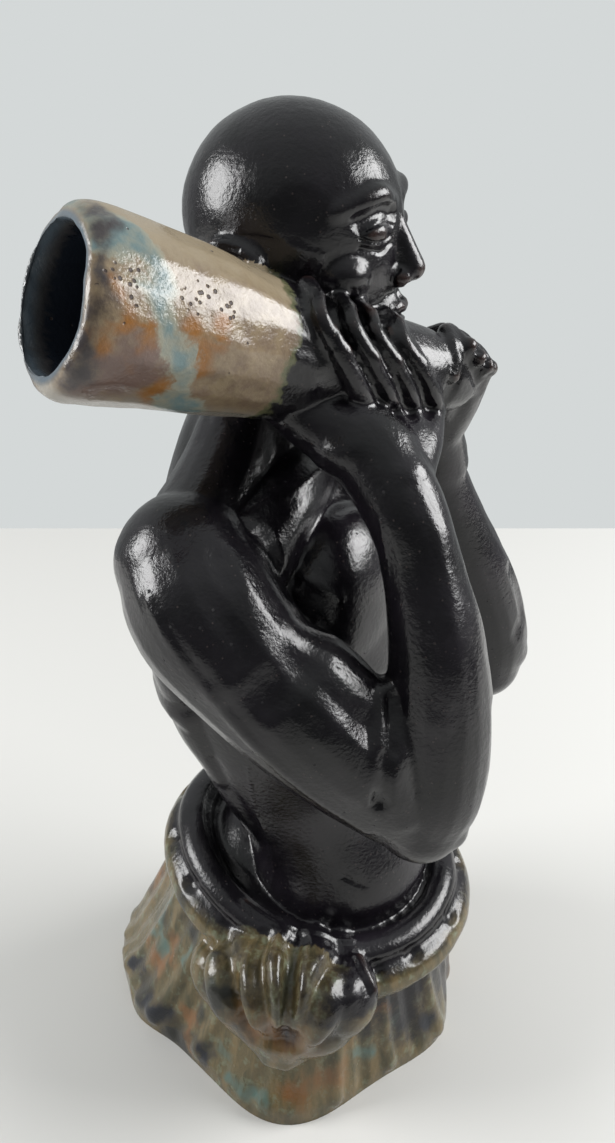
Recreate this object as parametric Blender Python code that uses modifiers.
# Horn player figurine, glazed stoneware cast in one piece.
# A bare-headed half figure rises from a rolled and knotted cloth whose skirt spreads to a scalloped foot.
# Both hands hold a flared horn at the lips. Metres, +Z up, the figure faces -Y, origin under its middle.
import math

import bmesh
import bpy
import numpy as np
from mathutils import Matrix, Vector

# Driving sizes, in metres
FIGURE_HEIGHT = 0.293
FOOT_RADIUS = 0.051
HEM_HEIGHT = 0.005
HORN_WALL = 0.0052
BORE_DEPTH = 0.066
TRIANGLES = 9600

# The pose, proportions and carving are laid out in shares of the height, 293 from table to crown
SHARE = FIGURE_HEIGHT / 293
CLAY_GRAIN = 1.25 * SHARE

GLAZE_BLACK = (0.010, 0.010, 0.012, 1.0)

# Stations of a limb or a roll are (x, y, z, radius) in shares
HORN = (
    (12, -39.5, 223, 7.5),
    (6, -36.5, 225.8, 9),
    (-2, -30.5, 229, 10.5),
    (-11, -22, 232, 12.5),
    (-22, -11, 236, 15),
    (-36, 3, 243, 17.8),
    (-50, 15, 250, 20),
    (-68, 30.5, 258.5, 22),
)
HORN_SOLID_END = 3.0  # shares by which the closed tip is rounded past its last station

# Torso sections: height, middle y, half width, half depth, squareness
TORSO = (
    (34, -8, 30, 32, 2.0),
    (56, -10, 31, 32, 2.0),
    (64, -13, 30.5, 30.5, 2.0),
    (72, -13.5, 28.5, 28, 2.1),
    (80, -9.5, 27.5, 27.5, 2.2),
    (88, -4.5, 28, 28, 2.2),
    (98, 0, 29.5, 29, 2.2),
    (112, 2, 33, 31.5, 2.2),
    (130, 1, 37.5, 35, 2.3),
    (151, -1, 42, 36.5, 2.4),
    (172, 0.5, 44, 34, 2.4),
    (188, 6, 43, 28.5, 2.3),
    (200, 10, 35, 23.5, 2.1),
    (210, 11.5, 25, 19.5, 2.0),
    (222, 8.5, 18.5, 17.5, 2.0),
    (236, 5.5, 16.5, 18, 2.0),
    (252, 3, 17, 20, 2.0),
)

RIGHT_ARM = (
    (-50, 11, 190, 18),
    (-56, 3, 181, 19.5),
    (-57.5, -9, 168, 17.8),
    (-56, -24, 153, 16.4),
    (-51, -39, 137, 14.4),
    (-47, -50, 126, 12.5),
)
RIGHT_FOREARM = (
    (-47, -50.5, 125, 12.5),
    (-46, -53, 137, 13.8),
    (-44, -53, 157, 13.6),
    (-41, -50, 178, 11.6),
    (-37, -43.5, 198, 9),
    (-34, -38, 212, 8.2),
)
RIGHT_BICEPS = ((-58, -15, 176, 9), (-54.5, -24, 168, 10.5), (-52.5, -31, 159, 11), (-50, -37, 150, 9.5))
LEFT_ARM = (
    (50, 11, 188, 18),
    (56, 3, 178, 19.5),
    (57.5, -9, 164, 17.8),
    (56, -24, 147, 16.4),
    (51, -38, 130, 14.4),
    (47, -49, 117, 12.5),
)
LEFT_FOREARM = (
    (47, -49.5, 116, 12.5),
    (45, -50, 129, 13.4),
    (41, -46, 149, 12.2),
    (35, -39, 170, 9.8),
    (30, -34, 188, 8.2),
    (26, -33, 201, 7.8),
)
LEFT_BICEPS = ((58, -15, 172, 9), (54.5, -24, 163, 10.5), (52.5, -31, 153, 11), (50, -36, 144, 9.5))

# Places of each hand's four knuckles along the horn, from its closed tip at 0 to the bell at 1,
# and how far the fingers slant towards the bell for each degree that they turn over the horn
RIGHT_GRIP = (0.235, 0.318, 0.387, 0.458)
RIGHT_SLANT = 0.0024
LEFT_GRIP = (0.0, 0.05, 0.10, 0.15)
LEFT_SLANT = 0.0008
FINGER_RADIUS = 2.7
FINGER_TURNS = (-36, -10, 16, 38, 60, 80)  # degrees round the horn from knuckle to tip
SLANT_END = 34  # degrees past which the fingertips run straight over the horn
RIGHT_WRIST = (-34, -38, 210)
LEFT_WRIST = (25, -33, 202)
RIGHT_THUMB = ((-34, -38, 209, 6), (-32, -29, 215, 5.6), (-31, -20, 220, 4.8), (-33, -11, 224, 3.8))
RIGHT_PALM = ((-28, -27, 219), (9, 12, 8))
LEFT_PALM = ((19, -33, 212), (7, 8, 8))
LEFT_THUMB = ((24, -30, 203, 5.2), (18, -26, 209, 4.8), (9, -26, 214, 4.2), (2, -25, 216, 3.6))

# The head, bald and calm: eyes half way up, nose base and mouth at even thirds below them.
# A ball is (middle, reach); what stands on both sides is given for the left
HEAD_BALLS = (
    ((0, 0.8, 266), (24.3, 28.3, 27)),
    ((0, -7, 257), (20.5, 20.5, 23)),
    ((0, -11, 243), (15.5, 15.5, 12)),
    ((0, -21.5, 236), (7, 6.5, 5)),
)
FACE_BALLS = (
    ((9.6, -22.6, 264.5), (4.9, 3.4, 3.3)),
    ((13, -17.5, 255), (6.5, 6.5, 5.5)),
    ((21.5, 8, 252.5), (4.2, 9.5, 9)),
)
HEAD_TUBES = (
    ((-19, 2, 249, 5), (-14, -14, 238.5, 4.5), (0, -23, 235, 4.5), (14, -14, 238.5, 4.5), (19, 2, 249, 5)),
    ((0, -25.5, 270, 2.6), (0, -27.8, 262, 2.7), (0, -31, 254.5, 3.1)),
    ((-6.5, -26.5, 244.5, 1.5), (0, -29.5, 245.3, 2.5), (6.5, -26.5, 244.5, 1.5)),
    ((-5.5, -26, 241, 1.6), (0, -29, 240.6, 2.8), (5.5, -26, 241, 1.6)),
)
FACE_TUBES = (
    ((3, -26, 270.5, 2.6), (10, -24.2, 272, 2.8), (17, -17, 269, 2.4)),
    ((2.2, -30, 252.5, 2.2), (4.0, -28.5, 252.5, 2.4)),
    (
        (24.2, 4.5, 245.5, 2.0),
        (24.2, 10, 243.5, 2.0),
        (24, 16.5, 249, 2.0),
        (24, 17, 256.5, 2.0),
        (24.4, 10, 262, 2.0),
        (24.6, 2, 260, 1.9),
        (24.4, 0, 254, 1.7),
    ),
)
# Muscles of the chest, back and hips, for the left: middle, reach and turn about the upright
BODY_BALLS = (
    ((20, -20, 168), (20, 16, 20), 14),
    ((25, 25, 157), (17, 11, 30), -12),
    ((60, -6, 172), (16, 16, 15), 0),
)
NECK_MUSCLE = ((8, 10, 221, 10), (24, 11, 205, 12), (44, 11, 194, 14))
COLLAR = ((8, -6, 201, 8), (24, -4.5, 196.5, 10.5), (40, 0, 190, 13))

# Cloth: a roll lies round the hips and its skirt spreads to the foot in folds
ROLL_MIDDLE = (0, -7, 63.5)
ROLL_REACH = (39, 41)
ROLL_RADIUS = 5.8
WELL = ((-30, 0.9), (-4.5, 1.0), (-2.5, 0.93), (-2.0, 0.8), (2.0, 0.62))  # height off the roll, share of its reach
ROLL_DIP = 6.0
ROLL_TILT = 10.0
SECOND_STRAND = (4.5, 7.5, 6.2)  # further out, lower, and its radius
KNOT_APEX = (-58, -14, 29)
KNOT_LOBES = (
    (-45, 11, 45, 9.0),
    (-50.5, 1.5, 51, 10.0),
    (-52, -10, 53.5, 10.5),
    (-51, -22, 52.5, 10.5),
    (-46, -32, 49, 9.0),
)
KNOT_CORE = ((-46, -11, 43), (16.5, 26, 19))
# Skirt folds: direction in degrees, reach beyond the foot radius in shares, half width in degrees
FOLDS = (
    (-165, 10.5, 22),
    (-100, 4.5, 19),
    (-48, 6.5, 20),
    (0, 5.0, 18),
    (45, 7.0, 20),
    (98, 15.0, 22),
    (128, 6.0, 13),
)
# Pleats between roll and hem: direction at the roll, direction at the hem, thickness
PLEATS = (
    (172, 158, 3.6),
    (150, 134, 4.2),
    (128, 112, 3.6),
    (104, 92, 4.6),
    (76, 64, 3.8),
    (50, 42, 4.4),
    (24, 20, 3.6),
    (-4, -2, 4.2),
    (-30, -24, 3.6),
    (-56, -50, 4.4),
    (-84, -76, 3.6),
    (-112, -102, 4.4),
    (-134, -126, 3.6),
    (-152, -150, 3.8),
)
# How far down from the roll's middle line to the ground, and how far out towards the hem
SKIRT_LEVELS = ((0.22, 0.80), (0.44, 0.54), (0.68, 0.28), (0.9, 0.08), (1.02, 0.0))

# Carved lines: route, half width and depth, in shares
GROOVES = (
    (((0, 33, 202), (0, 36, 170), (0, 36, 135), (0, 29, 106), (0, 20, 90)), 9, 2.6),
    (((0, -34, 190), (0, -33, 160)), 6, 2.2),
    (((-34, -29, 192), (-42, -22, 184), (-46, -20, 170)), 5, 2.0),
    (((34, -29, 192), (42, -22, 184), (46, -20, 170)), 5, 2.0),
    (((0, -30, 150), (0, -27, 118), (0, -32, 95)), 5, 1.6),
    (((0, -41, 84), (0, -42, 82)), 5, 2.2),
    (((-16, 36, 152), (-30, 34, 136), (-38, 22, 130)), 6, -1.6),
    (((16, 36, 152), (30, 34, 136), (38, 22, 130)), 6, -1.6),
    (((-62, -2, 199), (-68, -6, 191), (-71, -11, 182), (-71, -17, 171)), 5, 2.0),
    (((62, -2, 197), (68, -6, 188), (71, -11, 178), (71, -17, 166)), 5, 2.0),
)

SIDES = 48


def at(x, y, z):
    return Vector((x, y, z)) * SHARE


def smooth_stations(stations, steps):
    """Stations read off a smooth curve through the given ones, in any number of values each."""
    points = np.array(stations, float)
    ends = np.vstack([2 * points[0] - points[1], points, 2 * points[-1] - points[-2]])
    found = []
    for first in range(len(points) - 1):
        a, b, c, d = ends[first : first + 4]
        for step in range(steps):
            t = step / steps
            bend = 2 * a - 5 * b + 4 * c - d
            twist = 3 * b - a - 3 * c + d
            found.append(b + 0.5 * t * ((c - a) + t * (bend + t * twist)))
    found.append(points[-1])
    return found


def on_side(station, side):
    """A place given for the left, kept there for a side of 1 and mirrored to the right for -1."""
    return (side * station[0], *station[1:])


def add_ball(clay, middle, reach, turn=0):
    """An ellipsoid of clay, its reach a half size along each of its own axes, turned about the upright."""
    spin = Matrix.Rotation(math.radians(turn), 4, "Z")
    place = Matrix.Translation(at(*middle)) @ spin @ Matrix.Diagonal((*at(*reach), 1))
    ball = bmesh.new()
    bmesh.ops.create_uvsphere(ball, u_segments=28, v_segments=18, radius=1, matrix=place)
    mesh = bpy.data.meshes.new("ball")
    ball.to_mesh(mesh)
    ball.free()
    clay.from_mesh(mesh)
    bpy.data.meshes.remove(mesh)


def add_tube(clay, stations, round_ends=True, steps=5):
    """A tapering tube along a smooth route, made as a bevelled curve, with a ball in each end."""
    curve = bpy.data.curves.new("route", "CURVE")
    curve.dimensions = "3D"
    curve.bevel_depth = SHARE
    curve.bevel_resolution = 5
    curve.use_fill_caps = True
    spline = curve.splines.new("POLY")
    route = smooth_stations(stations, steps)
    spline.points.add(len(route) - 1)
    for point, (x, y, z, radius) in zip(spline.points, route):
        point.co = (*at(x, y, z), 1)
        point.radius = radius
    tube = bpy.data.objects.new("tube", curve)
    bpy.context.scene.collection.objects.link(tube)
    bpy.context.view_layer.update()
    mesh = bpy.data.meshes.new_from_object(tube.evaluated_get(bpy.context.evaluated_depsgraph_get()))
    clay.from_mesh(mesh)
    bpy.data.objects.remove(tube)
    bpy.data.curves.remove(curve)
    bpy.data.meshes.remove(mesh)
    if round_ends:
        for x, y, z, radius in (stations[0], stations[-1]):
            add_ball(clay, (x, y, z), (radius, radius, radius))


def add_loft(clay, rings):
    """A closed skin over rings of points that all turn the same way."""
    loops = [[clay.verts.new(point) for point in ring] for ring in rings]
    for low, high in zip(loops, loops[1:]):
        for side in range(len(low)):
            after = (side + 1) % len(low)
            clay.faces.new((low[side], low[after], high[after], high[side]))
    clay.faces.new(loops[0][::-1])
    clay.faces.new(loops[-1])


def add_torso(clay):
    rings = []
    for z, y, half_width, half_depth, square in smooth_stations(TORSO, 4):
        ring = []
        for side in range(SIDES):
            turn = 2 * math.pi * side / SIDES
            across, along = math.cos(turn), math.sin(turn)
            across = math.copysign(abs(across) ** (2 / square), across)
            along = math.copysign(abs(along) ** (2 / square), along)
            ring.append(at(half_width * across, y + half_depth * along, z))
        rings.append(ring)
    add_loft(clay, rings)
    for side in (-1, 1):
        for middle, reach, turn in BODY_BALLS:
            add_ball(clay, on_side(middle, side), reach, side * turn)
        for stations in (NECK_MUSCLE, COLLAR):
            add_tube(clay, [on_side(station, side) for station in stations])


def add_arms(clay):
    right = (RIGHT_ARM, RIGHT_FOREARM, RIGHT_BICEPS)
    left = (LEFT_ARM, LEFT_FOREARM, LEFT_BICEPS)
    for arm, forearm, biceps in (right, left):
        add_tube(clay, arm)
        add_tube(clay, forearm)
        add_tube(clay, biceps)
        x, y, z, radius = arm[-1]
        add_ball(clay, (x, y - 1, z - 3.5), (0.8 * radius, 0.8 * radius, 0.8 * radius))


def add_head(clay):
    for middle, reach in HEAD_BALLS:
        add_ball(clay, middle, reach)
    for stations in HEAD_TUBES:
        add_tube(clay, stations)
    for side in (-1, 1):
        for middle, reach in FACE_BALLS:
            add_ball(clay, on_side(middle, side), reach)
        for stations in FACE_TUBES:
            add_tube(clay, [on_side(station, side) for station in stations])


def horn_station(share):
    """A station on the horn, counted from its closed tip at 0 to the bell at 1."""
    route = smooth_stations(HORN, 12)
    return route[round(share * (len(route) - 1))]


def add_horn(clay):
    add_tube(clay, HORN, round_ends=False)
    x, y, z, radius = HORN[0]
    add_ball(clay, (x + HORN_SOLID_END, y - 1, z - 1), (radius, radius, radius))


def grip_frame(share, outward):
    """Middle, radius, and the directions out and up across the horn at a share of its length."""
    here, after = horn_station(share), horn_station(min(1, share + 0.04))
    axis = (Vector(after[:3]) - Vector(here[:3])).normalized()
    out = Vector(outward)
    out = (out - axis * out.dot(axis)).normalized()
    up = axis.cross(out) if axis.cross(out).z > 0 else out.cross(axis)
    return Vector(here[:3]), here[3], out, up


def add_hand(clay, shares, outward, wrist, slant, thumb, palm):
    """Four fingers slanting over the horn from knuckles on its outer side, a palm to the wrist, a thumb below."""
    knuckles = []
    for share in shares:
        ring = []
        for step, angle in enumerate(FINGER_TURNS):
            place = share + slant * (min(angle, SLANT_END) - FINGER_TURNS[0])
            middle, radius, out, up = grip_frame(place, outward)
            turn = math.radians(angle)
            reach = radius + FINGER_RADIUS * (1.05 - 0.06 * step)
            spot = middle + (out * math.cos(turn) + up * math.sin(turn)) * reach
            ring.append((*spot, FINGER_RADIUS * (1.06 - 0.05 * step)))
        add_tube(clay, ring)
        knuckles.append(Vector(ring[0][:3]))
    wrist = Vector(wrist)
    for knuckle in knuckles:
        middle = knuckle.lerp(wrist, 0.45)
        add_tube(clay, ((*knuckle, FINGER_RADIUS * 1.15), (*middle, 5.6), (*wrist, 7.4)))
    add_tube(clay, thumb)
    add_ball(clay, *palm)


def add_hands(clay):
    add_hand(clay, RIGHT_GRIP, (-0.80, -0.60, 0.1), RIGHT_WRIST, RIGHT_SLANT, RIGHT_THUMB, RIGHT_PALM)
    add_hand(clay, LEFT_GRIP, (0.75, -0.55, 0.1), LEFT_WRIST, LEFT_SLANT, LEFT_THUMB, LEFT_PALM)


def hem_reach(direction):
    """Distance from the middle of the foot to the hem, in shares, with each fold as a round swell."""
    reach = FOOT_RADIUS / SHARE
    for middle, swell, half_width in FOLDS:
        off = (direction - middle + 180) % 360 - 180
        reach += swell * math.exp(-((off / half_width) ** 2))
    return reach


def roll_height(turn):
    """Height of the roll's middle line, tilted up at the back and dipping at the knot on the right hip."""
    return ROLL_MIDDLE[2] + ROLL_TILT * math.sin(turn) - ROLL_DIP * max(0, -math.cos(turn - 0.25)) ** 2


def skirt_spot(direction, share, spread, proud=0.0):
    """A place on the cloth at a share of the roll's height, from under the roll at 0 to the hem at 1 outwards."""
    turn = math.radians(direction)
    top = math.hypot(ROLL_REACH[0] * math.cos(turn), ROLL_REACH[1] * math.sin(turn)) + 2
    reach = top + (hem_reach(direction) - top) * spread + proud
    middle_y = ROLL_MIDDLE[1] * (1 - spread)
    height = share * (roll_height(turn) if spread < 1 else ROLL_MIDDLE[2])
    return reach * math.cos(turn), middle_y + reach * math.sin(turn), height


def add_skirt(clay):
    """The cloth from the roll down to the foot, swelling to the folds at the hem, with pleats laid over it."""
    hem = HEM_HEIGHT / SHARE / ROLL_MIDDLE[2]
    levels = ((-0.08, 1.0), (hem, 1.0), (hem + 0.04, 0.96), *SKIRT_LEVELS)
    rings = []
    for share, spread in smooth_stations(levels, 4):
        directions = [360 * side / (3 * SIDES) for side in range(3 * SIDES)]
        rings.append([at(*skirt_spot(direction, share, min(1, spread))) for direction in directions])
    add_loft(clay, rings)
    for high, low, thickness in PLEATS:
        stations = []
        for share, spread in levels[:0:-1]:
            direction = high + (low - high) * spread
            radius = thickness * (0.55 + 0.45 * spread)
            stations.append((*skirt_spot(direction, share, min(0.96, spread), -0.6 * radius), radius))
        add_tube(clay, stations)


def add_roll(clay):
    """The rolled waistband, two strands that dip towards the knot on the right hip, round a shallow well."""
    rings = []
    for rise, spread in WELL:
        ring = []
        for side in range(SIDES):
            turn = 2 * math.pi * side / SIDES
            x = ROLL_MIDDLE[0] + ROLL_REACH[0] * spread * math.cos(turn)
            y = ROLL_MIDDLE[1] + ROLL_REACH[1] * spread * math.sin(turn)
            ring.append(at(x, y, roll_height(turn) + rise))
        rings.append(ring)
    add_loft(clay, rings)
    for grow, drop, radius in ((0, 0, ROLL_RADIUS), SECOND_STRAND):
        stations = []
        for step in range(17):
            turn = 2 * math.pi * step / 16
            stations.append(
                (
                    ROLL_MIDDLE[0] + (ROLL_REACH[0] + grow) * math.cos(turn),
                    ROLL_MIDDLE[1] + (ROLL_REACH[1] + grow) * math.sin(turn),
                    roll_height(turn) - drop,
                    radius,
                )
            )
        add_tube(clay, stations)


def add_knot(clay):
    """The tied end: fat lobes that fan up from one apex and fold back into the roll."""
    for x, y, z, radius in KNOT_LOBES:
        lean = y - KNOT_APEX[1]
        apex = (KNOT_APEX[0], KNOT_APEX[1] + 0.12 * lean, KNOT_APEX[2], 3.4)
        waist = (x - 3, KNOT_APEX[1] + 0.62 * lean, (z + KNOT_APEX[2]) / 2, radius * 0.86)
        back = (x + 13, y * 0.8, z + 2, radius * 0.8)
        add_tube(clay, (apex, waist, (x, y, z, radius), back))
    add_ball(clay, *KNOT_CORE)


def clay_form():
    clay = bmesh.new()
    add_torso(clay)
    add_arms(clay)
    add_head(clay)
    add_horn(clay)
    add_hands(clay)
    add_skirt(clay)
    add_roll(clay)
    add_knot(clay)
    mesh = bpy.data.meshes.new("clay")
    clay.to_mesh(mesh)
    clay.free()
    return mesh


def fused(mesh):
    """The overlapping forms as one skin of clay, with the joins softened."""
    lump = bpy.data.objects.new("lump", mesh)
    bpy.context.scene.collection.objects.link(lump)
    fuse = lump.modifiers.new("fuse", "REMESH")
    fuse.mode = "VOXEL"
    fuse.voxel_size = CLAY_GRAIN
    soften = lump.modifiers.new("soften", "SMOOTH")
    soften.factor = 0.5
    soften.iterations = 4
    bpy.context.view_layer.update()
    skin = bpy.data.meshes.new_from_object(lump.evaluated_get(bpy.context.evaluated_depsgraph_get()))
    bpy.data.objects.remove(lump)
    bpy.data.meshes.remove(mesh)
    return skin


def press(mesh):
    """Pushes the clay in along each groove, and out where the depth is below zero, fading to the sides."""
    spots = np.empty(3 * len(mesh.vertices), np.float32)
    mesh.vertices.foreach_get("co", spots)
    spots = spots.reshape(-1, 3)
    outward = np.array([vertex.normal for vertex in mesh.vertices])
    for route, width, depth in GROOVES:
        gap = np.full(len(spots), np.inf)
        for station in smooth_stations(route, 8):
            gap = np.minimum(gap, np.linalg.norm(spots - station * SHARE, axis=1))
        fade = np.clip(1 - (gap / (width * SHARE)) ** 2, 0, 1) ** 2
        spots = spots - outward * (fade * depth * SHARE)[:, None]
    mesh.vertices.foreach_set("co", spots.astype(np.float32).ravel())
    mesh.update()


def horn_bore():
    """The cutter for the inside of the bell, a wall's thickness inside the horn and open past its lip."""
    route = smooth_stations(HORN, 2)
    wall = HORN_WALL / SHARE
    depth = BORE_DEPTH / SHARE
    lip = Vector(route[-1][:3])
    inner = [station for station in route if (Vector(station[:3]) - lip).length <= depth]
    stations = [(*station[:3], station[3] - wall) for station in inner]
    stations[0] = (*stations[0][:3], 0.6 * stations[0][3])
    out = (Vector(inner[-1][:3]) - Vector(inner[-2][:3])).normalized()
    stations.append((*(lip + out * 2 * wall), inner[-1][3] - 0.6 * wall))
    cutter = bmesh.new()
    add_tube(cutter, stations, round_ends=False, steps=1)
    bmesh.ops.remove_doubles(cutter, verts=cutter.verts, dist=1e-6)
    return cutter


def main():
    for obj in list(bpy.data.objects):
        bpy.data.objects.remove(obj)
    figure_collection = bpy.data.collections.new("horn player")
    cutter_collection = bpy.data.collections.new("cutters")
    for collection in (figure_collection, cutter_collection):
        bpy.context.scene.collection.children.link(collection)

    skin = fused(clay_form())
    press(skin)
    figure = bpy.data.objects.new("horn_player", skin)
    figure_collection.objects.link(figure)

    bore = bpy.data.objects.new("horn_bore", bpy.data.meshes.new("horn_bore"))
    cutter = horn_bore()
    cutter.to_mesh(bore.data)
    cutter.free()
    ground = bpy.data.objects.new("ground_cut", bpy.data.meshes.new("ground_cut"))
    block = bmesh.new()
    span = 0.8 * FIGURE_HEIGHT
    place = Matrix.Translation((0, 0, -span / 2)) @ Matrix.Diagonal((span, span, span, 1))
    bmesh.ops.create_cube(block, size=1, matrix=place)
    block.to_mesh(ground.data)
    block.free()
    for obj in (bore, ground):
        cutter_collection.objects.link(obj)
        obj.hide_render = True
        obj.display_type = "WIRE"

    thin = figure.modifiers.new("thin", "DECIMATE")
    thin.ratio = min(1, TRIANGLES / (2 * len(skin.polygons)))
    for name, cut in (("horn_bore", bore), ("ground_cut", ground)):
        modifier = figure.modifiers.new(name, "BOOLEAN")
        modifier.operation = "DIFFERENCE"
        modifier.object = cut

    glaze = bpy.data.materials.new("black glazed stoneware")
    glaze.use_nodes = True
    shader = glaze.node_tree.nodes["Principled BSDF"]
    shader.inputs["Base Color"].default_value = GLAZE_BLACK
    shader.inputs["Roughness"].default_value = 0.15
    figure.data.materials.append(glaze)
    figure.data.shade_smooth()


main()
